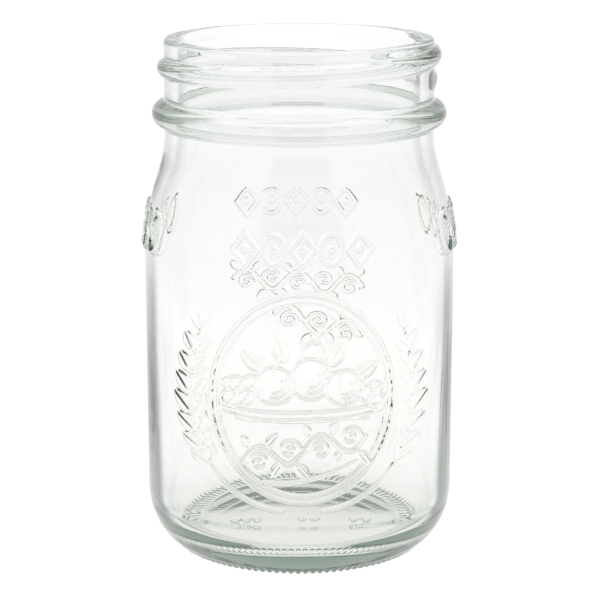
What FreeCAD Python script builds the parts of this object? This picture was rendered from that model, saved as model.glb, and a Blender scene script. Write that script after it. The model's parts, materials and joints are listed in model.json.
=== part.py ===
import FreeCAD, Part
import math
import os

from FreeCAD import Vector

# A one-piece glass canning jar with a threaded neck, millimetres, +Z up.
# The origin is on the axis, in the plane that the jar stands on. The front is -Y.
os.makedirs("parts", exist_ok=True)

# Overall sizes
HEIGHT = 127.0
BODY_HALF_WIDTH = 38.35
BODY_SQUARENESS = 2.35
ROUND = 2.0

# Heel and base
BEARING_OUTER_R = 29.2
BEARING_INNER_R = 26.0
HEEL_HEIGHT = 15.9
PUSH_UP = 2.4
FLOOR_Z = 5.6
FLOOR_R = 27.5
INNER_HEEL_TOP_Z = 13.5

# Shoulder, two arcs that meet with one slope
SHOULDER_START_Z = 73.0
SHOULDER_TURN_Z = 95.0
SHOULDER_END_Z = 104.6
NECK_R = 33.1

# Wall of glass
WALL_AT_HEEL = 3.6
WALL_AT_SHOULDER = 1.8
WALL_THICK_Z = 15.0
WALL_THIN_Z = 68.0

# Neck finish
MOUTH_R = 29.8
BEAD_Z = 108.7
BEAD_SECTION_R = 3.1
BEAD_TOP_FILLET = 0.9
LIP_OUTER_ROUND = 1.0
LIP_INNER_ROUND = 0.8

# Screw thread, one start, right-handed
THREAD_CREST_R = 34.8
THREAD_PITCH = 6.35
THREAD_HALF_WIDTH = 2.4
THREAD_DROP_AT_X = 10.35
THREAD_FIRST_DEG = -24.0
THREAD_LAST_DEG = 420.0
THREAD_FADE_DEG = 26.0
THREAD_STEP_DEG = 12.0
THREAD_BURIED_R = 32.3
THREAD_END_SINK = 0.4
THREAD_END_WIDTH = 0.6

# Moulded relief
RELIEF_HEIGHT = 0.7
MEDALLION_Z = 46.0
MEDALLION_HALF_WIDTH = 21.0
MEDALLION_HALF_HEIGHT = 25.7
MEDALLION_LINE = 0.8
MEDALLION_GAP = 0.9
LOZENGE_Z = 81.8
LOZENGE_HALF_WIDTH = 2.3
LOZENGE_HALF_HEIGHT = 3.6
LOZENGE_PITCH = 6.6
LEAF_LENGTH = 6.5
LEAF_HALF_WIDTH = 1.5
LEAF_PAIRS = 5
LEAF_LEAN_DEG = 38.0
STALK_HALF_GAP = 0.5
SPRIG_LOW_Z = 33.0
SPRIG_STEP = 5.6
SPRIG_GAP = 3.4
SPRIG_BOW = 1.4
FRUIT_HALF_WIDTH = 5.5
FRUIT_HALF_HEIGHT = 5.9
FRUIT_OFF_MIDDLE = 5.8
FRUIT_Z = 49.0
RIBBON_Z = 34.0
RIBBON_HALF_WIDTH = 12.0
RIBBON_DEPTH = 4.5
ROSETTE_Z = 49.0
ROSETTE_R = 6.0
ROSETTE_LEAVES = 8
BERRY_HALF_WIDTH = 3.6
BERRY_HALF_HEIGHT = 3.8
FRONT_ROW = 5
SIDE_ROW = 3
RELIEF_LOW_Z = 12.0
RELIEF_REACH = 60.0

# How finely the lofts are divided, and how far a cutting solid runs past the glass
SECTION_POINTS = 32
HEEL_STEPS = 6
WALL_STEPS = 4
SHOULDER_STEPS = 7
CUT_OVERRUN = 5.0
CUT_INSET = 0.02


def smooth(start, end, value):
    """0 below start, 1 above end, and an eased step between them."""
    t = min(1.0, max(0.0, (value - start) / (end - start)))
    return t * t * (3.0 - 2.0 * t)


def squareness(z):
    """Exponent of the body's section: round at heel and neck, squarer between."""
    rise = smooth(0.0, HEEL_HEIGHT, z) * (1.0 - smooth(SHOULDER_START_Z, SHOULDER_END_Z, z))
    return ROUND + (BODY_SQUARENESS - ROUND) * rise


def shoulder_half_width(z):
    """Half width over the shoulder: a convex arc, then a concave one into the neck."""
    fall = BODY_HALF_WIDTH - NECK_R
    span = SHOULDER_END_Z - SHOULDER_START_Z
    steepest = 2.0 * fall / span
    upper = SHOULDER_END_Z - SHOULDER_TURN_Z
    if z <= SHOULDER_TURN_Z:
        lower = SHOULDER_TURN_Z - SHOULDER_START_Z
        return BODY_HALF_WIDTH - steepest * (z - SHOULDER_START_Z) ** 2 / (2.0 * lower)
    return NECK_R + steepest * (SHOULDER_END_Z - z) ** 2 / (2.0 * upper)


def outer_half_width(z):
    """Half width of the outside between opposite flats, from the base to the neck."""
    if z < HEEL_HEIGHT:
        drop = 1.0 - z / HEEL_HEIGHT
        return BEARING_OUTER_R + (BODY_HALF_WIDTH - BEARING_OUTER_R) * math.sqrt(1.0 - drop * drop)
    if z < SHOULDER_START_Z:
        return BODY_HALF_WIDTH
    if z < SHOULDER_END_Z:
        return shoulder_half_width(z)
    return NECK_R


def wall(z):
    """Thickness of the glass, thickest low down and again in the neck."""
    lower = WALL_AT_HEEL + (WALL_AT_SHOULDER - WALL_AT_HEEL) * smooth(WALL_THICK_Z, WALL_THIN_Z, z)
    return lower + (NECK_R - MOUTH_R - lower) * smooth(SHOULDER_START_Z, SHOULDER_END_Z, z)


def section(half_width, exponent, z):
    """Closed smooth outline of a rounded square at one height."""
    points = []
    for i in range(SECTION_POINTS):
        angle = 2.0 * math.pi * i / SECTION_POINTS
        c = math.cos(angle)
        s = math.sin(angle)
        r = half_width / (abs(c) ** exponent + abs(s) ** exponent) ** (1.0 / exponent)
        points.append(Vector(r * c, r * s, z))
    curve = Part.BSplineCurve()
    curve.interpolate(Points=points, PeriodicFlag=True)
    return Part.Wire(curve.toShape())


def heel_heights(bottom, top):
    """Heights along a quarter round from a level floor to an upright wall."""
    turns = [math.pi / 2.0 * i / HEEL_STEPS for i in range(HEEL_STEPS)]
    return [bottom + (top - bottom) * (1.0 - math.cos(turn)) for turn in turns]


def body_heights(bottom, top):
    """Heights of the loft's sections above the heel."""
    wall_step = (SHOULDER_START_Z - bottom) / WALL_STEPS
    shoulder_step = (SHOULDER_END_Z - SHOULDER_START_Z) / SHOULDER_STEPS
    straight = [bottom + wall_step * i for i in range(WALL_STEPS)]
    shoulder = [SHOULDER_START_Z + shoulder_step * i for i in range(SHOULDER_STEPS + 1)]
    return straight + shoulder + [top]


def body_solid():
    """Outside of the jar from the base to the middle of the bead, filled in."""
    heights = heel_heights(0.0, HEEL_HEIGHT) + body_heights(HEEL_HEIGHT, BEAD_Z)
    sections = [section(outer_half_width(z), squareness(z), z) for z in heights]
    return Part.makeLoft(sections, True, False)


def inner_half_width(z):
    """Half width of the inside, with a large round between the floor and the wall."""
    if z < INNER_HEEL_TOP_Z:
        side = BODY_HALF_WIDTH - wall(INNER_HEEL_TOP_Z)
        drop = 1.0 - (z - FLOOR_Z) / (INNER_HEEL_TOP_Z - FLOOR_Z)
        return FLOOR_R + (side - FLOOR_R) * math.sqrt(1.0 - drop * drop)
    return outer_half_width(z) - wall(z)


def cavity_solid():
    """The space inside, as a solid to cut away: body, neck and the rounded mouth."""
    heights = heel_heights(FLOOR_Z, INNER_HEEL_TOP_Z) + body_heights(INNER_HEEL_TOP_Z, BEAD_Z)
    insets = [CUT_INSET * smooth(SHOULDER_TURN_Z, SHOULDER_END_Z, z) for z in heights]
    sections = [section(inner_half_width(z) - inset, squareness(z), z) for z, inset in zip(heights, insets)]
    space = Part.makeLoft(sections, True, False)
    edge = HEIGHT - LIP_INNER_ROUND
    above = HEIGHT + CUT_OVERRUN
    land = MOUTH_R + LIP_INNER_ROUND
    turn = LIP_INNER_ROUND * (1.0 - math.sqrt(0.5))
    outline = Part.Wire([
        Part.makeLine(Vector(0, 0, SHOULDER_END_Z), Vector(MOUTH_R, 0, SHOULDER_END_Z)),
        Part.makeLine(Vector(MOUTH_R, 0, SHOULDER_END_Z), Vector(MOUTH_R, 0, edge)),
        Part.Arc(Vector(MOUTH_R, 0, edge), Vector(MOUTH_R + turn, 0, HEIGHT - turn),
                 Vector(land, 0, HEIGHT)).toShape(),
        Part.makeLine(Vector(land, 0, HEIGHT), Vector(land, 0, above)),
        Part.makeLine(Vector(land, 0, above), Vector(0, 0, above)),
        Part.makeLine(Vector(0, 0, above), Vector(0, 0, SHOULDER_END_Z)),
    ])
    mouth = Part.Face(outline).revolve(Vector(0, 0, 0), Vector(0, 0, 1), 360)
    return space.fuse(mouth)


def neck_finish_solid():
    """Transfer bead, neck and lip as one turned solid, filled in."""
    bead_low = BEAD_Z - BEAD_SECTION_R
    crest = NECK_R + BEAD_SECTION_R
    reach = BEAD_SECTION_R + BEAD_TOP_FILLET
    fillet_z = BEAD_Z + math.sqrt(reach ** 2 - BEAD_TOP_FILLET ** 2)
    share = BEAD_SECTION_R / reach
    meet = Vector(NECK_R + BEAD_TOP_FILLET * share, 0, BEAD_Z + (fillet_z - BEAD_Z) * share)
    mid_angle = math.atan2(meet.z - BEAD_Z, meet.x - NECK_R) / 2.0 - math.pi / 4.0
    bead_mid = Vector(NECK_R + BEAD_SECTION_R * math.cos(mid_angle), 0,
                      BEAD_Z + BEAD_SECTION_R * math.sin(mid_angle))
    centre = Vector(NECK_R + BEAD_TOP_FILLET, 0, fillet_z)
    to_meet = (meet - centre).normalize()
    to_wall = Vector(-1, 0, 0)
    fillet_mid = centre + (to_meet + to_wall).normalize() * BEAD_TOP_FILLET
    lip_low = HEIGHT - LIP_OUTER_ROUND
    turn = LIP_OUTER_ROUND * (1.0 - math.sqrt(0.5))
    lip_in = NECK_R - LIP_OUTER_ROUND
    start = Vector(NECK_R, 0, bead_low)
    outline = Part.Wire([
        Part.makeLine(Vector(0, 0, bead_low), start),
        Part.Arc(start, bead_mid, meet).toShape(),
        Part.Arc(meet, fillet_mid, Vector(NECK_R, 0, fillet_z)).toShape(),
        Part.makeLine(Vector(NECK_R, 0, fillet_z), Vector(NECK_R, 0, lip_low)),
        Part.Arc(Vector(NECK_R, 0, lip_low), Vector(NECK_R - turn, 0, HEIGHT - turn),
                 Vector(lip_in, 0, HEIGHT)).toShape(),
        Part.makeLine(Vector(lip_in, 0, HEIGHT), Vector(0, 0, HEIGHT)),
        Part.makeLine(Vector(0, 0, HEIGHT), Vector(0, 0, bead_low)),
    ])
    return Part.Face(outline).revolve(Vector(0, 0, 0), Vector(0, 0, 1), 360)


def thread_solid():
    """The screw thread: rounded sections lofted up the helix, sinking in at both ends."""
    count = int(round((THREAD_LAST_DEG - THREAD_FIRST_DEG) / THREAD_STEP_DEG))
    sections = []
    for i in range(count + 1):
        degrees = THREAD_FIRST_DEG + (THREAD_LAST_DEG - THREAD_FIRST_DEG) * i / count
        first = smooth(THREAD_FIRST_DEG, THREAD_FIRST_DEG + THREAD_FADE_DEG, degrees)
        last = 1.0 - smooth(THREAD_LAST_DEG - THREAD_FADE_DEG, THREAD_LAST_DEG, degrees)
        full = first * last
        z = HEIGHT - THREAD_DROP_AT_X + THREAD_PITCH * degrees / 360.0
        sunk = NECK_R - THREAD_END_SINK
        crest = sunk + (THREAD_CREST_R - sunk) * full
        half = THREAD_HALF_WIDTH * (THREAD_END_WIDTH + (1.0 - THREAD_END_WIDTH) * full)
        low = Vector(THREAD_BURIED_R, 0, z - half)
        high = Vector(THREAD_BURIED_R, 0, z + half)
        ring = Part.Wire([Part.Arc(low, Vector(crest, 0, z), high).toShape(), Part.makeLine(high, low)])
        ring.rotate(Vector(0, 0, 0), Vector(0, 0, 1), degrees)
        sections.append(ring)
    return Part.makeLoft(sections, True, False)


def upright_ellipse(half_width, half_height, x, z):
    """Elliptical face in the plane of the jar's front, facing -Y."""
    across = half_width >= half_height
    long_half = half_width if across else half_height
    short_half = half_height if across else half_width
    major = Vector(long_half, 0, 0) if across else Vector(0, 0, long_half)
    minor = Vector(0, 0, short_half) if across else Vector(short_half, 0, 0)
    centre = Vector(x, 0, z)
    return Part.Face(Part.Wire(Part.Ellipse(centre + major, centre + minor, centre).toShape()))


def upright_polygon(corners):
    """Flat face in the plane of the jar's front from (x, z) corners."""
    points = [Vector(x, 0, z) for x, z in corners]
    return Part.Face(Part.makePolygon(points + points[:1]))


def oval_line(half_width, half_height, line):
    """Face between two ovals, the outline of a medallion."""
    outer = upright_ellipse(half_width, half_height, 0.0, MEDALLION_Z)
    inner = upright_ellipse(half_width - line, half_height - line, 0.0, MEDALLION_Z)
    return outer.cut(inner)


def lozenge(x):
    """Upright diamond on the shoulder."""
    return upright_polygon([(x - LOZENGE_HALF_WIDTH, LOZENGE_Z), (x, LOZENGE_Z - LOZENGE_HALF_HEIGHT),
                            (x + LOZENGE_HALF_WIDTH, LOZENGE_Z), (x, LOZENGE_Z + LOZENGE_HALF_HEIGHT)])


def lozenge_row(count):
    """Diamonds side by side on the shoulder, in the middle of one side."""
    return [lozenge(LOZENGE_PITCH * (i - (count - 1) / 2.0)) for i in range(count)]


def leaf(x, z, degrees):
    """Pointed leaf whose stalk end is at (x, z)."""
    turn = math.radians(degrees)
    along = (math.cos(turn), math.sin(turn))
    corners = []
    for part, side in ((0.0, 0.0), (0.3, 0.85), (0.6, 0.95), (1.0, 0.0), (0.6, -0.95), (0.3, -0.85)):
        run = LEAF_LENGTH * part
        out = LEAF_HALF_WIDTH * side
        corners.append((x + run * along[0] - out * along[1], z + run * along[1] + out * along[0]))
    return upright_polygon(corners)


def sprig(side):
    """Leaves in pairs up one side of the medallion; side is -1 or 1."""
    leaves = []
    for i in range(LEAF_PAIRS):
        z = SPRIG_LOW_Z + SPRIG_STEP * i
        x = side * (MEDALLION_HALF_WIDTH + SPRIG_GAP + SPRIG_BOW * math.sin(math.pi * i / LEAF_PAIRS))
        for lean in (-1, 1):
            leaves.append(leaf(x - lean * STALK_HALF_GAP, z, 90.0 + lean * LEAF_LEAN_DEG))
    return leaves


def front_relief():
    """Faces of the front's relief: medallion, fruit, ribbon, sprigs and the shoulder row."""
    faces = [oval_line(MEDALLION_HALF_WIDTH, MEDALLION_HALF_HEIGHT, MEDALLION_LINE)]
    step = MEDALLION_LINE + MEDALLION_GAP
    faces.append(oval_line(MEDALLION_HALF_WIDTH - step, MEDALLION_HALF_HEIGHT - step, MEDALLION_LINE))
    for side in (-1, 1):
        faces.append(upright_ellipse(FRUIT_HALF_WIDTH, FRUIT_HALF_HEIGHT, side * FRUIT_OFF_MIDDLE, FRUIT_Z))
    faces.append(upright_polygon([(-RIBBON_HALF_WIDTH, RIBBON_Z), (RIBBON_HALF_WIDTH, RIBBON_Z),
                                  (RIBBON_HALF_WIDTH, RIBBON_Z + RIBBON_DEPTH),
                                  (-RIBBON_HALF_WIDTH, RIBBON_Z + RIBBON_DEPTH)]))
    for side in (-1, 1):
        faces.extend(sprig(side))
    return faces + lozenge_row(FRONT_ROW)


def back_relief():
    """Faces of the back's relief: a rosette of leaves round a berry, and the shoulder row."""
    faces = [upright_ellipse(BERRY_HALF_WIDTH, BERRY_HALF_HEIGHT, 0.0, ROSETTE_Z)]
    for i in range(ROSETTE_LEAVES):
        degrees = 360.0 * i / ROSETTE_LEAVES
        turn = math.radians(degrees)
        faces.append(leaf(ROSETTE_R * math.cos(turn), ROSETTE_Z + ROSETTE_R * math.sin(turn), degrees))
    return faces + lozenge_row(FRONT_ROW)


def relief_prisms():
    """All relief outlines as bars that run outward from the jar's middle."""
    outward = Vector(0, -RELIEF_REACH, 0)
    sides = ((0.0, front_relief()), (180.0, back_relief()), (90.0, lozenge_row(SIDE_ROW)),
             (270.0, lozenge_row(SIDE_ROW)))
    bars = []
    for degrees, faces in sides:
        for face in faces:
            bar = face.extrude(outward)
            bar.rotate(Vector(0, 0, 0), Vector(0, 0, 1), degrees)
            bars.append(bar)
    return bars


def relief_skin():
    """The body grown by the height of the relief."""
    heights = [RELIEF_LOW_Z] + body_heights(HEEL_HEIGHT, BEAD_Z)[:-2]
    sections = [section(outer_half_width(z) + RELIEF_HEIGHT, squareness(z), z) for z in heights]
    return Part.makeLoft(sections, True, False)


def push_up_solid():
    """Shallow dome under the base, inside the ring that the jar stands on."""
    sphere_r = (BEARING_INNER_R ** 2 + PUSH_UP ** 2) / (2.0 * PUSH_UP)
    ball = Part.makeSphere(sphere_r, Vector(0, 0, PUSH_UP - sphere_r))
    keep = Part.makeCylinder(BEARING_INNER_R, PUSH_UP + 2.0 * CUT_OVERRUN, Vector(0, 0, -CUT_OVERRUN))
    return ball.common(keep)


def glass_jar():
    """The whole jar, one piece of glass."""
    outside = body_solid().fuse(neck_finish_solid())
    outside = outside.fuse(thread_solid())
    raised = relief_skin().common(Part.makeCompound(relief_prisms()))
    outside = outside.fuse(raised)
    jar = outside.cut(cavity_solid()).cut(push_up_solid())
    return jar.Solids[0]


jar = glass_jar()
jar.exportStep("parts/glass_jar.step")
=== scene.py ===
import bpy
import json
import math
import numpy as np
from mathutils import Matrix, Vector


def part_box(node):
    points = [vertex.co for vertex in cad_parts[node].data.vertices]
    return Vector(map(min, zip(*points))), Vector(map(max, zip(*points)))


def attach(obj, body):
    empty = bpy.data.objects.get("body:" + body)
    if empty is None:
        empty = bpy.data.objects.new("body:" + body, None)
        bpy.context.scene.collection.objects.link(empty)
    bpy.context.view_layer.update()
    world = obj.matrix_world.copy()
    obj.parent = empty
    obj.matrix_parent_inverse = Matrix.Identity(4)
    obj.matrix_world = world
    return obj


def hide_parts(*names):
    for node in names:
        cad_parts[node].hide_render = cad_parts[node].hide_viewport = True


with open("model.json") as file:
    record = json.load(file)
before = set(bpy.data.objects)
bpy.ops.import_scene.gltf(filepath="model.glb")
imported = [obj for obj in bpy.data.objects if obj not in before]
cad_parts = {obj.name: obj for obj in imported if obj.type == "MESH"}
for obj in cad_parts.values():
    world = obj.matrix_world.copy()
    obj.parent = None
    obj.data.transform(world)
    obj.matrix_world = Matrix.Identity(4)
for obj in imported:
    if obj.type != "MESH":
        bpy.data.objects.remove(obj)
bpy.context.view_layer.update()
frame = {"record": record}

# Everything below is worked out in millimetres and turned into metres for Blender.
MM = 0.001

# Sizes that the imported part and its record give
mounts = {mount["name"]: mount for mount in frame["record"]["mounts"]}
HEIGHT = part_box("glass_jar")[1].z / MM
MOUTH_R = mounts["mouth"]["dims"]["r_mm"]

# Body, shoulder and neck
BODY_HALF_WIDTH = 38.35
BODY_SQUARENESS = 2.35
ROUND = 2.0
BEARING_OUTER_R = 29.2
BEARING_INNER_R = 26.0
HEEL_HEIGHT = 15.9
PUSH_UP = 2.4
FLOOR_Z = 5.6
FLOOR_R = 27.5
INNER_HEEL_TOP_Z = 13.5
SHOULDER_START_Z = 73.0
SHOULDER_TURN_Z = 95.0
SHOULDER_END_Z = 104.6
NECK_R = 33.1
WALL_AT_HEEL = 3.6
WALL_AT_SHOULDER = 1.8
WALL_THICK_Z = 15.0
WALL_THIN_Z = 68.0

# Neck finish
BEAD_Z = 108.7
BEAD_SECTION_R = 3.1
ROOT_FILLET = 0.8
LIP_OUTER_ROUND = 1.0
LIP_INNER_ROUND = 0.8
THREAD_PITCH = 6.35
THREAD_DROP_AT_X = 10.35
THREAD_SECTION_R = 2.4
THREAD_SINK = 0.7
THREAD_FIRST_DEG = -12.0
THREAD_LAST_DEG = 396.0
THREAD_FADE_DEG = 26.0

# How far up the relief reaches, and the rows and steps that draw the form
RELIEF_TOP_Z = 90.2
RELIEF_ROW = 0.22
SHOULDER_ROW = 0.8
NECK_ROW = 0.24
INSIDE_ROW = 1.0
HEEL_STEPS = 26
LIP_STEPS = 8
CORNER_STEPS = 20
FLOOR_CROWN = 0.5

# Marks moulded under the base: bars and drops round its ring, and crescents inside it
STIPPLE_BARS = 112.0
STIPPLE_HEIGHT = 0.3
KNOB_R = 31.4
KNOB_HALF_WIDTH = 1.4
KNOB_HEIGHT = 0.5
CRESCENTS_X = (-16.4, -13.6, -10.8, 0.6, 3.8, 13.8, 17.0)
CRESCENTS_Y = -4.0
CRESCENT_R = 0.85
CRESCENT_LINE = 0.42
CRESCENT_HEIGHT = 1.0

# Mould seam, on two opposite corners
SEAM_CORNER_DEG = -24.0
SEAM_HEIGHT = 0.03

# Waviness of the skin, outside and inside, each with its own seed
OUTER_WAVE = 0.02
OUTER_SEED = 3
INNER_WAVE = 0.10
INNER_SEED = 8

# Glass: absorption colour and density, how far its skin waves, its cast, and the colours of painted shade
# that darken it at glancing angles
GLASS_TINT = (0.15, 0.32, 0.19, 1.0)
GLASS_DENSITY = 23.0
GLASS_SKIN = 0.00002
GLASS_CAST = (0.972, 0.970, 0.960, 1.0)
# The next two colours are painted shade: the glass turns dark at glancing angles, standing in for the darker
# surroundings seen through its walls
GLASS_PAINTED_EDGE_SHADE = (0.50, 0.56, 0.52, 1.0)
GLASS_PAINTED_SIDE_SHADE = (0.085, 0.11, 0.09, 1.0)

# Where the painted shade lies, in metres: heights for the side, neck and base, and the outer skin
SIDE_PAINTED_SHADE_ENDS_Z = 0.098
SIDE_PAINTED_SHADE_FULL_Z = 0.060
SIDE_PAINTED_SHADE_WIDENS_Z = 0.050
SIDE_PAINTED_SHADE_WIDEST_Z = 0.015
NECK_PAINTED_SHADE_STARTS_Z = 0.070
NECK_PAINTED_SHADE_FULL_Z = 0.095
BASE_PAINTED_SHADE_ENDS_Z = 0.016
BASE_PAINTED_SHADE_FULL_Z = 0.008
CAST_ENDS_Z = 0.105
CAST_FULL_Z = 0.090
OUTER_SKIN_FROM = 0.0370
OUTER_SKIN_FULL = 0.0380

# Bench with a light under it: its size and its gap below the jar, in metres
FLOOR_REACH = 30.0
FLOOR_GAP = 0.0001
LIGHT_TONE = (1.0, 0.978, 0.992, 1.0)
BENCH_TONE = (0.25, 0.25, 0.25, 1.0)
BENCH_GLOW = 0.94
FAR_BENCH_GLOW = 0.82

# Camera: how far away, how far aside and how high in metres, and which way it looks
CAMERA_AWAY = 0.522
CAMERA_ASIDE = 0.0002
CAMERA_LIFT = 0.185
CAMERA_PITCH_DEG = 13.36
CAMERA_TURN_DEG = -1.2
LENS_MM = 128.3

# Light of the room in front and what the rear adds
FRONT_LIGHT = 1.15
REAR_LIGHT = -0.15


# ---------------------------------------------------------------- the jar's form

def eased(start, end, value):
    """0 below start, 1 above end, and a smooth step between them."""
    t = np.clip((value - start) / (end - start), 0.0, 1.0)
    return t * t * (3.0 - 2.0 * t)


def squareness(z):
    """Exponent of the body's section: round at heel and neck, squarer between."""
    rise = eased(0.0, HEEL_HEIGHT, z) * (1.0 - eased(SHOULDER_START_Z, SHOULDER_END_Z, z))
    return ROUND + (BODY_SQUARENESS - ROUND) * rise


def outer_half_width(z):
    """Half width of the outside between opposite flats, from the base to the neck."""
    drop = 1.0 - np.clip(z / HEEL_HEIGHT, 0.0, 1.0)
    heel = BEARING_OUTER_R + (BODY_HALF_WIDTH - BEARING_OUTER_R) * np.sqrt(1.0 - drop * drop)
    steepest = 2.0 * (BODY_HALF_WIDTH - NECK_R) / (SHOULDER_END_Z - SHOULDER_START_Z)
    below = np.clip(z - SHOULDER_START_Z, 0.0, None)
    convex = BODY_HALF_WIDTH - steepest * below ** 2 / (2.0 * (SHOULDER_TURN_Z - SHOULDER_START_Z))
    above = np.clip(SHOULDER_END_Z - z, 0.0, None)
    concave = NECK_R + steepest * above ** 2 / (2.0 * (SHOULDER_END_Z - SHOULDER_TURN_Z))
    shoulder = np.where(z < SHOULDER_TURN_Z, convex, concave)
    return np.where(z < HEEL_HEIGHT, heel, shoulder)


def wall(z):
    """Thickness of the glass, thickest low down and again in the neck."""
    lower = WALL_AT_HEEL + (WALL_AT_SHOULDER - WALL_AT_HEEL) * eased(WALL_THICK_Z, WALL_THIN_Z, z)
    return lower + (NECK_R - MOUTH_R - lower) * eased(SHOULDER_START_Z, SHOULDER_END_Z, z)


def inner_half_width(z):
    """Half width of the inside, with a large round between the floor and the wall."""
    side = BODY_HALF_WIDTH - wall(INNER_HEEL_TOP_Z)
    drop = 1.0 - np.clip((z - FLOOR_Z) / (INNER_HEEL_TOP_Z - FLOOR_Z), 0.0, 1.0)
    corner = FLOOR_R + (side - FLOOR_R) * np.sqrt(1.0 - drop * drop)
    return np.where(z < INNER_HEEL_TOP_Z, corner, outer_half_width(z) - wall(z))


# ---------------------------------------------------------------- drawing the relief

def bezier(start, first, second, end, count=24):
    """Points along a curve with two handles."""
    t = np.linspace(0.0, 1.0, count)[:, None]
    a, b, c, d = (np.array(p, float) for p in (start, first, second, end))
    return (1 - t) ** 3 * a + 3 * t * (1 - t) ** 2 * b + 3 * t * t * (1 - t) * c + t ** 3 * d


def distance_to_path(x, z, path):
    """How far each surface point is from a path, and how far along the path that is, 0 to 1."""
    best = np.full(x.shape, 1e9)
    along = np.zeros(x.shape)
    count = len(path) - 1
    for i in range(count):
        ax, az = path[i]
        dx, dz = path[i + 1] - path[i]
        t = np.clip(((x - ax) * dx + (z - az) * dz) / (dx * dx + dz * dz), 0.0, 1.0)
        d = np.hypot(x - ax - t * dx, z - az - t * dz)
        nearer = d < best
        best = np.where(nearer, d, best)
        along = np.where(nearer, (i + t) / count, along)
    return best, along


def ridge(distance, half_width, height):
    """Rounded ridge along a line."""
    return height * (1.0 - eased(0.25 * half_width, half_width, distance))


class Relief:
    """Raised ornament on one side of the jar, as a height for each surface point.
    x runs to the right as that side is looked at, z runs up."""

    def __init__(self, x, z):
        self.x = x
        self.z = z
        self.height = np.zeros(x.shape)

    def raise_to(self, height):
        self.height = np.maximum(self.height, height)

    def stroke(self, path, half_width, height, taper=0.0):
        """A line of glass; taper thins it towards its end."""
        distance, along = distance_to_path(self.x, self.z, path)
        width = half_width * (1.0 - taper * along)
        self.raise_to(ridge(distance, width, height * (1.0 - 0.5 * taper * along)))

    def oval(self, x, z, half_width, half_height, line, height):
        """A line of glass round an oval."""
        u = (self.x - x) / half_width
        v = (self.z - z) / half_height
        size = np.hypot(u, v) + 1e-6
        slope = np.hypot(u / half_width, v / half_height) / size
        self.raise_to(ridge(np.abs(size - 1.0) / slope, line, height))

    def fruit(self, x, z, half_width, half_height, height):
        """A round fruit drawn in line: it hides what lies behind it, with two arcs of shading."""
        u = (self.x - x) / half_width
        v = (self.z - z) / half_height
        size = np.hypot(u, v)
        smaller = min(half_width, half_height)
        self.height = np.where(size < 1.0, 0.0, self.height)
        self.raise_to(ridge(np.abs(size - 0.94) * smaller, 0.44, height))
        shaded = eased(0.15, 0.45, (0.8 * u - 0.6 * v) / (size + 1e-6))
        for ring in (0.66, 0.40):
            self.raise_to(ridge(np.abs(size - ring) * smaller, 0.36, 0.75 * height * shaded))

    def leaf(self, x, z, degrees, length, half_width, height, vein=0.55):
        """A pointed leaf with a groove down its middle, from its stalk end."""
        turn = math.radians(degrees)
        run = (self.x - x) * math.cos(turn) + (self.z - z) * math.sin(turn)
        out = (self.z - z) * math.cos(turn) - (self.x - x) * math.sin(turn)
        t = np.clip(run / length, 0.0, 1.0)
        width = half_width * np.sin(math.pi * t ** 0.8) ** 0.8 + 1e-3
        across = np.abs(out) / width
        inside = (run > 0.0) & (run < length) & (across < 1.0)
        body = height * np.sqrt(np.clip(1.0 - across ** 2, 0.0, None))
        groove = vein * height * (1.0 - eased(0.10, 0.38, np.abs(out))) * eased(0.05, 0.2, t)
        self.height = np.where(inside, np.maximum(body - groove, 0.25 * self.height), self.height)

    def lozenge(self, x, z, half_width, half_height, line, height):
        """An upright diamond drawn in one line."""
        size = np.abs(self.x - x) / half_width + np.abs(self.z - z) / half_height
        slope = math.hypot(1.0 / half_width, 1.0 / half_height)
        self.raise_to(ridge(np.abs(size - 1.0) / slope, line, height))

    def bead(self, x, z, radius, height):
        """A round drop of glass."""
        size = np.hypot(self.x - x, self.z - z) / radius
        self.raise_to(height * np.sqrt(np.clip(1.0 - size ** 2, 0.0, 1.0)))


def motif_row(side, count, pitch, z, half_width, half_height, line, height):
    """Lozenges and ovals in turn along the shoulder, each round a bead."""
    for i in range(count):
        x = pitch * (i - (count - 1) / 2.0)
        if i % 2 == 0:
            side.lozenge(x, z, half_width, half_height, line, height)
        else:
            side.oval(x, z, half_width * 0.85, half_height * 0.9, line, height)
        side.bead(x, z, half_width * 0.38, height)


MEDALLION_Z = 46.0
MEDALLION_HALF_WIDTH = 22.0
MEDALLION_HALF_HEIGHT = 25.9
SHOULDER_ROW_Z = 81.8
FRUIT_LINE = 0.85
SIDE_RING_PITCH = 7.0


def medallion_frame(side):
    """Two oval lines, the inner one finer."""
    side.oval(0.0, MEDALLION_Z, MEDALLION_HALF_WIDTH - 0.5, MEDALLION_HALF_HEIGHT - 0.5, 0.62, 0.75)
    side.oval(0.0, MEDALLION_Z, MEDALLION_HALF_WIDTH - 2.1, MEDALLION_HALF_HEIGHT - 2.1, 0.5, 0.55)


def sprig(side, hand):
    """A laurel branch up one side of the medallion; hand is -1 or 1."""
    stem = bezier((hand * 5.0, 18.4), (hand * 22.0, 20.8), (hand * 30.5, 37.0), (hand * 24.2, 62.0))
    side.stroke(stem, 0.6, 0.6, taper=0.35)
    height = 0.5 if hand < 0 else 0.24
    for i in range(7):
        share = 0.44 + 0.08 * i
        place = share * (len(stem) - 1)
        k = int(place)
        here = stem[k] + (stem[k + 1] - stem[k]) * (place - k)
        way = math.degrees(math.atan2(*(stem[k + 1] - stem[k])[::-1]))
        size = 1.0 - 0.25 * abs(i - 3) / 4.0
        for lean in (-34.0, 34.0):
            side.leaf(here[0], here[1], way + lean, 6.8 * size, 2.1 * size, height, vein=0.75)
    side.leaf(stem[-1][0], stem[-1][1], 94.0, 5.4, 1.7, height, vein=0.75)


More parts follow.
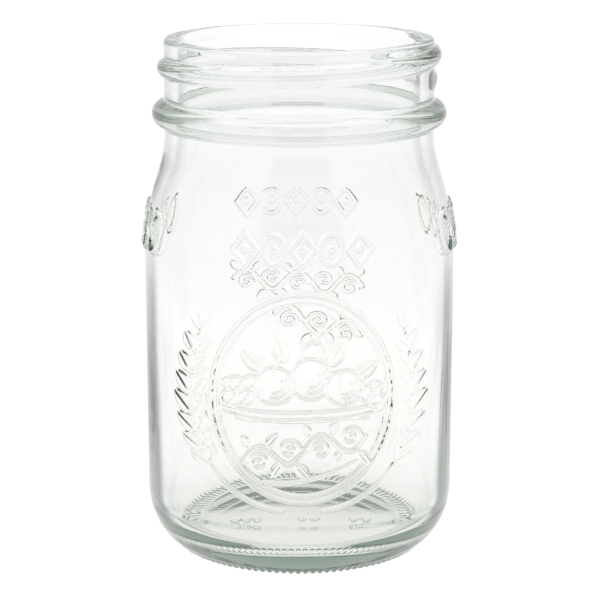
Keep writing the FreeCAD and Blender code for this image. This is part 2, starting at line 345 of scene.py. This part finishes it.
def still_life(side):
    """A low heap of fruit and leaves across the middle of the medallion, on a cloth."""
    leaves = ((-9.0, 53.0, 140.0, 7.4), (-4.0, 55.0, 112.0, 7.0), (6.5, 54.0, 62.0, 7.4),
              (12.0, 51.0, 32.0, 7.0), (-15.0, 49.0, 168.0, 4.5), (15.0, 48.0, 8.0, 4.5))
    for x, z, degrees, length in leaves:
        side.leaf(x, z, degrees, length, 2.0, 0.75)
    side.fruit(2.6, 57.0, 2.9, 3.3, FRUIT_LINE)
    side.fruit(2.0, 51.0, 5.0, 5.3, FRUIT_LINE)
    side.stroke(bezier((3.0, 59.6), (3.2, 61.2), (4.0, 62.2), (5.0, 62.8), 8), 0.45, 0.7)
    for x, z in ((-13.6, 46.6), (-17.0, 46.0), (-15.4, 49.4), (-12.0, 49.8)):
        side.fruit(x, z, 2.1, 2.1, FRUIT_LINE)
    side.fruit(-6.6, 49.4, 5.0, 4.8, FRUIT_LINE)
    side.stroke(bezier((-6.8, 53.0), (-6.4, 54.6), (-5.6, 55.8), (-4.4, 56.6), 8), 0.45, 0.7)
    side.fruit(9.8, 48.8, 4.7, 4.5, FRUIT_LINE)
    side.stroke(bezier((9.6, 53.0), (8.0, 50.5), (8.2, 47.5), (9.8, 45.0), 10), 0.4, 0.7)
    for x, z in ((15.4, 46.8), (17.8, 44.8)):
        side.fruit(x, z, 2.0, 2.0, FRUIT_LINE)
    for drop, reach, sag in ((0.0, 18.8, 2.4), (1.5, 18.6, 3.4), (3.2, 15.5, 0.6)):
        low = 44.2 - drop - sag
        cloth = bezier((-reach, 44.2 - drop), (-7.0, low), (7.0, low + 1.2), (reach, 44.2 - drop))
        side.stroke(cloth, 0.45, 0.65)


def curl(centre, radius, start_deg, turns):
    """A spiral that winds inward to its centre."""
    count = 26
    t = np.linspace(0.0, 1.0, count)
    angle = np.radians(start_deg) + 2.0 * math.pi * turns * t
    reach = radius * (1.0 - 0.85 * t)
    return np.stack([centre[0] + reach * np.cos(angle), centre[1] + reach * np.sin(angle)], -1)


def vine_scroll(side, left, right, z, rise, wave, swirls, line=0.62):
    """A waving stem with a curl in each bend and a leaf between them."""
    count = 60
    t = np.linspace(0.0, 1.0, count)
    x = left + (right - left) * t
    stem = z + rise * (t - 0.5) + wave * np.sin(math.pi * swirls * t)
    side.stroke(np.stack([x, stem], -1), line, 0.75)
    pitch = (right - left) / swirls
    for i in range(swirls):
        share = (i + 0.5) / swirls
        up = 1.0 if i % 2 == 0 else -1.0
        cx = left + (right - left) * share
        cz = z + rise * (share - 0.5)
        winding = curl((cx, cz - up * 0.3 * wave), 0.36 * pitch, 90.0 + 90.0 * up, -1.35 * up)
        side.stroke(winding, 0.75 * line, 0.7)
        side.leaf(cx + 0.25 * pitch, cz + up * wave, up * 52.0, 0.62 * pitch, 0.17 * pitch, 0.7)
        back = 180.0 - up * 60.0
        side.leaf(cx - 0.30 * pitch, cz + up * 0.9 * wave, back, 0.5 * pitch, 0.15 * pitch, 0.7)


def front_relief(side):
    """Medallion with a still life and a vine, a sprig each side, and the shoulder row."""
    medallion_frame(side)
    still_life(side)
    vine_scroll(side, -14.0, 15.0, 33.6, 6.0, 2.9, 4, line=0.7)
    side.stroke(bezier((-9.0, 25.6), (-1.0, 24.6), (8.0, 27.6), (15.0, 32.0)), 0.6, 0.65, taper=0.6)
    for hand in (-1, 1):
        sprig(side, hand)
    motif_row(side, 5, 6.6, SHOULDER_ROW_Z, 2.9, 3.8, 0.85, 0.6)


def back_relief(side):
    """Two vines, one above the other, and the shoulder row."""
    vine_scroll(side, -18.0, 17.0, 57.6, 2.5, 3.1, 5, line=0.8)
    vine_scroll(side, -18.0, 6.0, 45.0, 6.5, 3.1, 3, line=0.85)
    motif_row(side, 5, 6.6, SHOULDER_ROW_Z, 2.9, 3.8, 0.8, 0.45)


def side_relief(side):
    """A row of bold rings on the shoulder."""
    for i in range(6):
        x = SIDE_RING_PITCH * (i - 2.5)
        side.oval(x, SHOULDER_ROW_Z, 2.7, 4.6, 1.0, 0.9)


# ---------------------------------------------------------------- the glass as one closed mesh

def column_angles():
    """Angles round the jar, close together where there is relief, as a multiple of three."""
    angle = np.linspace(-180.0, 180.0, 7201)
    off_front = np.abs((angle + 90.0 + 180.0) % 360.0 - 180.0)
    off_back = np.abs((angle - 90.0 + 180.0) % 360.0 - 180.0)
    off_side = np.minimum(np.abs(angle), 180.0 - np.abs(angle))
    pitch = np.full(angle.shape, 0.62)
    pitch = np.where(off_side < 34.0, 0.40, pitch)
    pitch = np.where(off_back < 36.0, 0.36, pitch)
    pitch = np.where(off_front < 52.0, 0.22, pitch)
    step = np.radians(angle[1] - angle[0]) * BODY_HALF_WIDTH / pitch
    run = np.concatenate([[0.0], np.cumsum(step[:-1])])
    count = int(round(run[-1] / 3.0)) * 3
    return np.radians(np.interp(np.arange(count) * run[-1] / count, run, angle))


def ripple(angle, z, size, seed):
    """Slow waviness of moulded glass, the same each time."""
    total = np.zeros(np.broadcast(angle, z).shape)
    source = np.random.RandomState(seed)
    for k in range(14):
        around = source.randint(1, 9)
        up = source.uniform(-0.22, 0.22)
        total = total + np.sin(around * angle + up * z + source.uniform(0.0, 6.28)) / (1.0 + 0.25 * around)
    return size * total / 3.0


def thread_height(angle, z):
    """How far the screw thread stands out of the neck."""
    degrees = np.degrees(angle)
    total = np.zeros(np.broadcast(angle, z).shape)
    for turn in range(-1, 3):
        here = degrees + 360.0 * turn
        ends = eased(THREAD_FIRST_DEG, THREAD_FIRST_DEG + THREAD_FADE_DEG, here)
        ends = ends * (1.0 - eased(THREAD_LAST_DEG - THREAD_FADE_DEG, THREAD_LAST_DEG, here))
        middle = HEIGHT - THREAD_DROP_AT_X + THREAD_PITCH * here / 360.0
        reach = np.sqrt(np.clip(THREAD_SECTION_R ** 2 - (z - middle) ** 2, 0.0, None))
        total = np.maximum(total, np.clip(reach - THREAD_SINK, 0.0, None) * ends)
    return total


def bead_height(z):
    """The transfer bead below the thread, with small fillets at its roots."""
    d = np.abs(z - BEAD_Z)
    reach = BEAD_SECTION_R + ROOT_FILLET
    meet = BEAD_SECTION_R / reach * math.sqrt(reach ** 2 - ROOT_FILLET ** 2)
    edge = math.sqrt(reach ** 2 - ROOT_FILLET ** 2)
    full = np.sqrt(np.clip(BEAD_SECTION_R ** 2 - d ** 2, 0.0, None))
    foot = ROOT_FILLET - np.sqrt(np.clip(ROOT_FILLET ** 2 - (edge - np.clip(d, meet, edge)) ** 2, 0.0, None))
    return np.where(d < meet, full, np.where(d < edge, foot, 0.0))


class Skin:
    """Collects rings of points and the faces between them, from the base to the floor inside."""

    def __init__(self, angles):
        self.angles = angles
        self.points = []
        self.faces = []
        self.count = 0
        self.last = None

    def add_points(self, x, y, z):
        self.points.append(np.stack([x, y, z], -1))
        first = self.count
        self.count += len(x)
        return np.arange(first, self.count)

    def ring(self, x, y, z):
        """Joins the next ring to the last one; a ring may have a third or three times the points."""
        ids = self.add_points(x, y, z)
        if self.last is not None:
            self.join(self.last, ids)
        self.last = ids

    def level_ring(self, r, z, angles):
        """A plain round ring, all at one height."""
        self.ring(r * np.cos(angles), r * np.sin(angles), np.full(angles.shape, z))

    def join(self, a, b):
        if len(a) == len(b):
            self.faces.append(np.stack([a, np.roll(a, -1), np.roll(b, -1), b], -1))
            return
        if len(a) > len(b):
            fine, coarse, flip = a, b, False
        else:
            fine, coarse, flip = b, a, True
        f0, f1, f2, f3 = fine[0::3], fine[1::3], fine[2::3], np.roll(fine[0::3], -1)
        c0, c1 = coarse, np.roll(coarse, -1)
        parts = ((f0, f1, c0, c0), (f1, f2, c1, c0), (f2, f3, c1, c1))
        for corners in parts:
            part = np.stack(corners, -1)
            self.faces.append(part[:, ::-1] if flip else part)

    def cap(self, z, closing):
        """Closes the middle with one point."""
        centre = self.add_points(np.zeros(1), np.zeros(1), np.array([z]))[0]
        a = self.last
        b = np.roll(a, -1)
        middle = np.full(len(a), centre)
        order = [a, b, middle, middle] if closing else [b, a, middle, middle]
        self.faces.append(np.stack(order, -1))


def section(angle, half_width, exponent):
    """Points of the rounded square at each angle."""
    c = np.cos(angle)
    s = np.sin(angle)
    r = half_width / (np.abs(c) ** exponent + np.abs(s) ** exponent) ** (1.0 / exponent)
    return r * c, r * s


def outward(angle, exponent):
    """Level direction square to the rounded square at each angle."""
    c = np.cos(angle)
    s = np.sin(angle)
    nx = np.sign(c) * np.abs(c) ** (exponent - 1.0)
    ny = np.sign(s) * np.abs(s) ** (exponent - 1.0)
    size = np.hypot(nx, ny)
    return nx / size, ny / size


def relief_heights(angles, heights):
    """Relief on all four sides for a grid of rows and columns."""
    total = np.zeros((len(heights), len(angles)))
    z = heights[:, None] + np.zeros((1, len(angles)))
    x, y = section(angles[None, :], outer_half_width(z), squareness(z))
    sides = ((front_relief, x, -y), (back_relief, -x, y), (side_relief, y, x), (side_relief, -y, -x))
    for draw, right, facing in sides:
        seen = facing[0] > np.abs(right[0]) * 0.62
        side = Relief(right[:, seen], z[:, seen])
        draw(side)
        total[:, seen] = np.maximum(total[:, seen], side.height)
    return total


def seam_height(angle, z):
    """Fine line where the two halves of the mould met, on opposite corners."""
    away = np.abs((angle - math.radians(SEAM_CORNER_DEG) + math.pi / 2.0) % math.pi - math.pi / 2.0)
    ends = eased(6.0, 12.0, z) * (1.0 - eased(103.0, 105.0, z))
    return SEAM_HEIGHT * (1.0 - eased(0.004, 0.014, away)) * ends


def bars(angle):
    """0 to 1 and back for each bar or drop round the ring."""
    return 0.5 - 0.5 * np.cos(STIPPLE_BARS * angle)


def stipple(angle, r):
    """Short bars moulded round the ring that the jar stands on."""
    band = eased(26.0, 27.0, r) * (1.0 - eased(29.6, 30.6, r))
    return STIPPLE_HEIGHT * band * bars(angle) ** 0.7


def knobs(angle, r):
    """Small drops of glass in a ring low on the heel."""
    return ridge(np.abs(r - KNOB_R), KNOB_HALF_WIDTH, KNOB_HEIGHT) * bars(angle)


def crescents(x, y):
    """Small crescents under the base, in three groups."""
    total = np.zeros(x.shape)
    up = y - CRESCENTS_Y
    for middle in CRESCENTS_X:
        reach = np.hypot(x - middle, up * 0.6)
        arc = ridge(np.abs(reach - CRESCENT_R), CRESCENT_LINE, CRESCENT_HEIGHT)
        total = np.maximum(total, arc * (1.0 - eased(-0.5, 0.3, up)))
    return total


def jar_mesh():
    """The whole jar as one closed skin: base, heel, body, neck, lip, inside and floor."""
    fine = column_angles()
    coarse = fine[::3]
    skin = Skin(fine)

    # under the base, from its middle out to the ring that it stands on
    under = np.concatenate([np.linspace(0.6, 20.0, 80), np.linspace(20.5, 29.0, 36)])
    first = True
    for r in under:
        rise = PUSH_UP * (1.0 - (min(r, BEARING_INNER_R) / BEARING_INNER_R) ** 2)
        x, y = section(fine, r, ROUND)
        skin.ring(x, y, rise + stipple(fine, r) - crescents(x, y))
        if first:
            skin.cap(PUSH_UP, closing=False)
            first = False

    # heel
    for i in range(0, HEEL_STEPS):
        turn = math.pi / 2.0 * i / HEEL_STEPS
        z = HEEL_HEIGHT * (1.0 - math.cos(turn))
        n = squareness(z)
        half = float(outer_half_width(np.array(z)))
        x, y = section(fine, half, n)
        lift = stipple(fine, half) - knobs(fine, half)
        skin.ring(x, y, np.maximum(z + lift, 0.0))

    # body with its relief
    rows = np.arange(HEEL_HEIGHT, RELIEF_TOP_Z, RELIEF_ROW)
    raised = relief_heights(fine, rows)
    for z, extra in zip(rows, raised):
        n = squareness(z)
        x, y = section(fine, outer_half_width(z), n)
        nx, ny = outward(fine, n)
        push = extra + seam_height(fine, z) + ripple(fine, z, OUTER_WAVE, OUTER_SEED)
        skin.ring(x + nx * push, y + ny * push, np.full(fine.shape, z))

    # shoulder, neck, bead and thread
    lip_low = HEIGHT - LIP_OUTER_ROUND
    shoulder_rows = np.arange(RELIEF_TOP_Z + SHOULDER_ROW, SHOULDER_END_Z - SHOULDER_ROW, SHOULDER_ROW)
    neck_rows = np.arange(SHOULDER_END_Z - 2.0 * NECK_ROW, lip_low, NECK_ROW)
    rows = np.concatenate([shoulder_rows, neck_rows, [lip_low]])
    for z in rows:
        n = squareness(z)
        x, y = section(coarse, outer_half_width(z), n)
        nx, ny = outward(coarse, n)
        push = bead_height(z) + thread_height(coarse, z) + seam_height(coarse, z)
        push = push + ripple(coarse, z, OUTER_WAVE, OUTER_SEED) * (1.0 - eased(96.0, 104.0, z))
        skin.ring(x + nx * push, y + ny * push, np.full(coarse.shape, z))

    # lip
    for i in range(1, LIP_STEPS + 1):
        turn = math.pi / 2.0 * i / LIP_STEPS
        r = NECK_R - LIP_OUTER_ROUND * (1.0 - math.cos(turn))
        skin.level_ring(r, lip_low + LIP_OUTER_ROUND * math.sin(turn), coarse)
    for i in range(0, LIP_STEPS):
        turn = math.pi / 2.0 * i / (LIP_STEPS - 1)
        r = MOUTH_R + LIP_INNER_ROUND * (1.0 - math.sin(turn))
        skin.level_ring(r, HEIGHT - LIP_INNER_ROUND * (1.0 - math.cos(turn)), coarse)

    # inside, from the mouth down to the middle of the floor
    rows = np.arange(HEIGHT - 2.0, INNER_HEEL_TOP_Z, -INSIDE_ROW)
    for z in rows:
        x, y = section(coarse, inner_half_width(z), squareness(z))
        nx, ny = outward(coarse, squareness(z))
        push = ripple(coarse, z, INNER_WAVE, INNER_SEED) * (1.0 - eased(95.0, SHOULDER_END_Z, z))
        skin.ring(x + nx * push, y + ny * push, np.full(coarse.shape, z))
    for i in range(0, CORNER_STEPS):
        turn = math.pi / 2.0 * (1.0 - i / CORNER_STEPS)
        z = FLOOR_Z + (INNER_HEEL_TOP_Z - FLOOR_Z) * (1.0 - math.cos(turn))
        x, y = section(coarse, inner_half_width(z), squareness(z))
        nx, ny = outward(coarse, squareness(z))
        push = ripple(coarse, z, INNER_WAVE, INNER_SEED)
        skin.ring(x + nx * push, y + ny * push, np.full(coarse.shape, z))
    for r in np.linspace(FLOOR_R, 0.8, CORNER_STEPS):
        skin.level_ring(r, FLOOR_Z + FLOOR_CROWN * (1.0 - (r / FLOOR_R) ** 2), coarse)
    skin.cap(FLOOR_Z + FLOOR_CROWN, closing=True)
    return skin


def mesh_object(name, skin):
    """Blender mesh from a skin, smooth all over."""
    points = np.concatenate(skin.points) * MM
    quads = np.concatenate(skin.faces)
    three = quads[:, 2] == quads[:, 3]
    first_two_same = quads[:, 0] == quads[:, 1]
    loops = []
    sizes = []
    for group, keep in ((quads[~three & ~first_two_same], (0, 1, 2, 3)), (quads[three], (0, 1, 2)),
                        (quads[first_two_same & ~three], (0, 2, 3))):
        loops.append(group[:, list(keep)].ravel())
        sizes.append(np.full(len(group), len(keep)))
    loops = np.concatenate(loops).astype(np.int32)
    sizes = np.concatenate(sizes).astype(np.int32)
    mesh = bpy.data.meshes.new(name)
    mesh.vertices.add(len(points))
    mesh.vertices.foreach_set("co", points.astype(np.float32).ravel())
    mesh.loops.add(len(loops))
    mesh.loops.foreach_set("vertex_index", loops)
    mesh.polygons.add(len(sizes))
    starts = np.concatenate([[0], np.cumsum(sizes)[:-1]]).astype(np.int32)
    mesh.polygons.foreach_set("loop_start", starts)
    mesh.polygons.foreach_set("loop_total", sizes)
    mesh.polygons.foreach_set("use_smooth", np.ones(len(sizes), bool))
    mesh.update(calc_edges=True)
    mesh.validate()
    piece = bpy.data.objects.new(name, mesh)
    bpy.context.scene.collection.objects.link(piece)
    return piece


# ---------------------------------------------------------------- materials

class Value:
    """A node socket that can be used in Python arithmetic."""

    def __init__(self, nodes, socket):
        self.nodes = nodes
        self.socket = socket

    def math(self, operation, *others):
        return self.nodes.add("ShaderNodeMath", {"operation": operation}, [self, *others])

    def __add__(self, other):
        return self.math("ADD", other)

    def __sub__(self, other):
        return self.math("SUBTRACT", other)

    def __rsub__(self, other):
        return (self * -1.0) + other

    def __mul__(self, other):
        return self.math("MULTIPLY", other)

    __radd__ = __add__
    __rmul__ = __mul__

    def step(self, low, high):
        """0 at low, 1 at high and a smooth step between them."""
        settings = {"interpolation_type": "SMOOTHERSTEP"}
        return self.nodes.add("ShaderNodeMapRange", settings, [self, low, high, 0.0, 1.0])

    def part(self, index):
        """One component of a vector."""
        return self.nodes.add("ShaderNodeSeparateXYZ", {}, [self], index)


class Nodes:
    """The one way that nodes are added to a material or to the world."""

    def __init__(self, tree):
        self.tree = tree

    def plug(self, socket, value):
        if isinstance(value, Value):
            self.tree.links.new(value.socket, socket)
        else:
            socket.default_value = value

    def add(self, kind, settings=None, inputs=(), output=0):
        made = self.tree.nodes.new(kind)
        for key, value in (settings or {}).items():
            setattr(made, key, value)
        pairs = inputs.items() if isinstance(inputs, dict) else enumerate(inputs)
        for key, value in pairs:
            self.plug(made.inputs[key], value)
        return Value(self, made.outputs[output])

    def blend(self, share, low, high):
        """Colour between two others."""
        return self.add("ShaderNodeMix", {"data_type": "RGBA"}, {0: share, 6: low, 7: high}, 2)

    def finish(self, name, values):
        """Sets the sockets of a node that the tree starts with."""
        for key, value in values.items():
            self.plug(self.tree.nodes[name].inputs[key], value)


def new_finish(name):
    """A material with an empty node tree and its helper."""
    material = bpy.data.materials.new(name)
    material.use_nodes = True
    return material, Nodes(material.node_tree)


def clear_glass():
    """Soda-lime glass: clear, with a faint green cast that grows with thickness, and painted shade that
    darkens its colour at glancing angles on the sides, neck and base.
    """
    material, nodes = new_finish("clear_glass")
    place = nodes.add("ShaderNodeTexCoord", {}, (), "Object")
    waves = nodes.add("ShaderNodeTexNoise", {}, {"Vector": place, "Scale": 70.0, "Detail": 1.0})
    grain = nodes.add("ShaderNodeTexNoise", {}, {"Vector": place, "Scale": 420.0, "Detail": 2.0})
    skin = waves * 0.8 + grain * 0.2
    normal = nodes.add("ShaderNodeBump", {}, {"Strength": 1.0, "Distance": GLASS_SKIN, "Height": skin})
    turned = nodes.add("ShaderNodeLayerWeight", {}, {"Blend": 0.5}, "Facing")
    across = place.part(0).math("ABSOLUTE").math("POWER", BODY_SQUARENESS)
    along = place.part(1).math("ABSOLUTE").math("POWER", BODY_SQUARENESS)
    reach = (across + along).math("POWER", 1.0 / BODY_SQUARENESS)
    outside = reach.step(OUTER_SKIN_FROM, OUTER_SKIN_FULL)
    height = place.part(2)
    # Masks for the painted shade: the outer sides up to the shoulder, the neck, and the base
    sides = height.step(SIDE_PAINTED_SHADE_ENDS_Z, SIDE_PAINTED_SHADE_FULL_Z) * outside
    neck = height.step(NECK_PAINTED_SHADE_STARTS_Z, NECK_PAINTED_SHADE_FULL_Z)
    ends = neck + height.step(BASE_PAINTED_SHADE_ENDS_Z, BASE_PAINTED_SHADE_FULL_Z)
    painted_shade_widening = height.step(SIDE_PAINTED_SHADE_WIDENS_Z, SIDE_PAINTED_SHADE_WIDEST_Z) * 0.06
    # Painted shade: the colour turns dark at glancing angles, the band widest low on the sides
    edge = turned.step(0.55, 0.85) * ends * (1.0 - sides) + (turned + painted_shade_widening).step(0.56, 0.72) * sides
    painted_shade_colour = nodes.blend(sides, GLASS_PAINTED_EDGE_SHADE, GLASS_PAINTED_SIDE_SHADE)
    cast = height.step(CAST_ENDS_Z, CAST_FULL_Z) * (waves * 0.4 + 0.6)
    clear = nodes.blend(cast, (1.0, 1.0, 1.0, 1.0), GLASS_CAST)
    tone = nodes.blend(edge, clear, painted_shade_colour)
    polish = grain.step(0.3, 0.8) * 0.02
    nodes.finish("Principled BSDF", {"Base Color": tone, "Metallic": 0.0, "Roughness": polish, "IOR": 1.52,
                                     "Transmission Weight": 1.0, "Normal": normal})
    tint = nodes.add("ShaderNodeVolumeAbsorption", {}, {"Color": GLASS_TINT, "Density": GLASS_DENSITY})
    nodes.finish("Material Output", {"Volume": tint})
    return material


def floor_finish():
    """Pale matt bench lit from below, a little dimmer further back."""
    material, nodes = new_finish("lit_bench")
    y = nodes.add("ShaderNodeNewGeometry").part(1)
    glow = BENCH_GLOW - y.step(0.06, 0.30) * (BENCH_GLOW - FAR_BENCH_GLOW)
    tone = nodes.blend(glow, (0.0, 0.0, 0.0, 1.0), LIGHT_TONE)
    nodes.finish("Principled BSDF", {"Base Color": BENCH_TONE, "Roughness": 1.0, "Specular IOR Level": 0.0,
                                     "Emission Color": tone, "Emission Strength": 1.0})
    return material


# ---------------------------------------------------------------- stage

def studio_floor():
    """A wide pale floor."""
    reach = FLOOR_REACH
    mesh = bpy.data.meshes.new("floor")
    corners = [(-reach, -reach, 0.0), (reach, -reach, 0.0), (reach, reach, 0.0), (-reach, reach, 0.0)]
    mesh.from_pydata(corners, [], [(0, 1, 2, 3)])
    piece = bpy.data.objects.new("floor", mesh)
    piece.location.z = -FLOOR_GAP
    bpy.context.scene.collection.objects.link(piece)
    piece.data.materials.append(floor_finish())
    return piece


def studio_light():
    """Soft light from all round, with a dark opening in front."""
    world = bpy.data.worlds.new("studio")
    world.use_nodes = True
    bpy.context.scene.world = world
    nodes = Nodes(world.node_tree)
    way = nodes.add("ShaderNodeTexCoord")
    x = way.part(0)
    y = way.part(1)
    z = way.part(2)
    rear = y.step(-0.7, 0.5)
    sides = x.math("ABSOLUTE").step(0.45, 0.33)
    opening = sides * z.step(-0.12, -0.04) * z.step(0.50, 0.40) * y.step(-0.6, -0.8)
    level = (FRONT_LIGHT + rear * REAR_LIGHT) * (1.0 - opening * 0.6)
    nodes.finish("Background", {"Color": LIGHT_TONE, "Strength": level})


def studio_camera():
    """A long lens from in front and a little above."""
    pitch = math.radians(CAMERA_PITCH_DEG)
    turn = math.radians(CAMERA_TURN_DEG)
    lens = bpy.data.cameras.new("camera")
    lens.lens = LENS_MM
    lens.sensor_width = 36.0
    lens.clip_start = 0.01
    piece = bpy.data.objects.new("camera", lens)
    x = CAMERA_AWAY * math.sin(turn) + CAMERA_ASIDE
    piece.location = (x, -CAMERA_AWAY * math.cos(turn), CAMERA_LIFT)
    piece.rotation_euler = (math.pi / 2.0 - pitch, 0.0, turn)
    bpy.context.scene.collection.objects.link(piece)
    bpy.context.scene.camera = piece


studio_camera()
studio_floor()
studio_light()
jar = mesh_object("glass_jar_shell", jar_mesh())
jar.data.materials.append(clear_glass())
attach(jar, "root")
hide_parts("glass_jar")

scene = bpy.context.scene
scene.view_settings.view_transform = "Standard"
scene.cycles.max_bounces = 64
scene.cycles.transmission_bounces = 64
scene.cycles.glossy_bounces = 64
